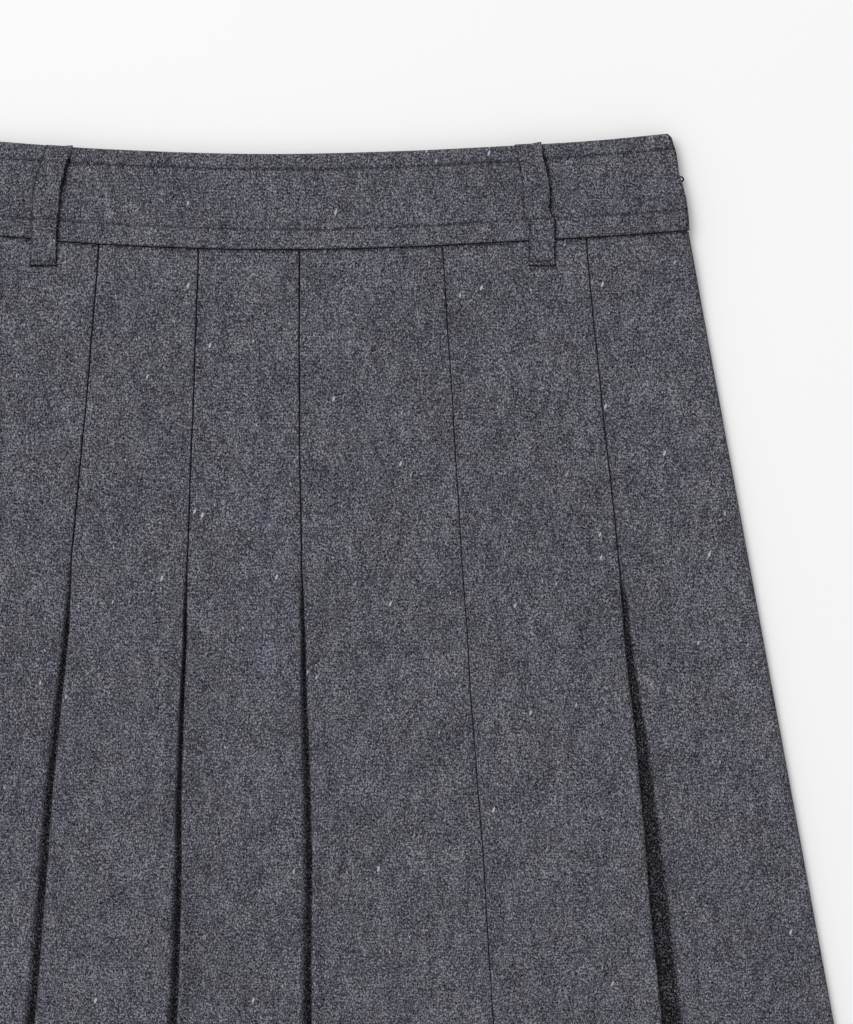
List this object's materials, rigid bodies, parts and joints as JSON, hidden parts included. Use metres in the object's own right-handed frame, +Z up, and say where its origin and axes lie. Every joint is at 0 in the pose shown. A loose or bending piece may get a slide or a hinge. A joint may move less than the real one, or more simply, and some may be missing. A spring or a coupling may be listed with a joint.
{
  "type": "pleated midi skirt, laid flat",
  "caption": "Grey wool flannel midi skirt with a contoured waistband, belt loops and pressed kick pleats, laid flat with the front up.",
  "frame": {"origin": "under the middle of the skirt, on the plane its back lies on, on the line of the centre front", "axes": "+X to the right of the picture, +Y from the hem to the waist, +Z up through the back and then the front"},
  "size_m": [0.613, 0.7893, 0.0114],
  "materials": {
    "flannel": "melange grey wool flannel, matt and lightly napped",
    "band_flannel": "melange grey wool flannel with interfacing, topstitched",
    "zip_tape": "dark woven zip tape, matt",
    "dark_wire": "black coated wire, satin"
  },
  "bodies": {
    "root": {"front_panel_1": "flannel", "front_panel_2": "flannel", "front_panel_3": "flannel", "front_panel_4": "flannel", "front_panel_5": "flannel", "front_panel_6": "flannel", "front_panel_7": "flannel", "back_panel_1": "flannel", "back_panel_2": "flannel", "back_panel_3": "flannel", "back_panel_4": "flannel", "back_panel_5": "flannel", "back_panel_6": "flannel", "front_waistband": "band_flannel", "back_waistband": "band_flannel", "front_belt_loop_left": "band_flannel", "front_belt_loop_right": "band_flannel", "back_belt_loop_left": "band_flannel", "back_belt_loop_right": "band_flannel", "side_zip": "zip_tape", "waist_eye": "dark_wire"}
  },
  "joints": []
}
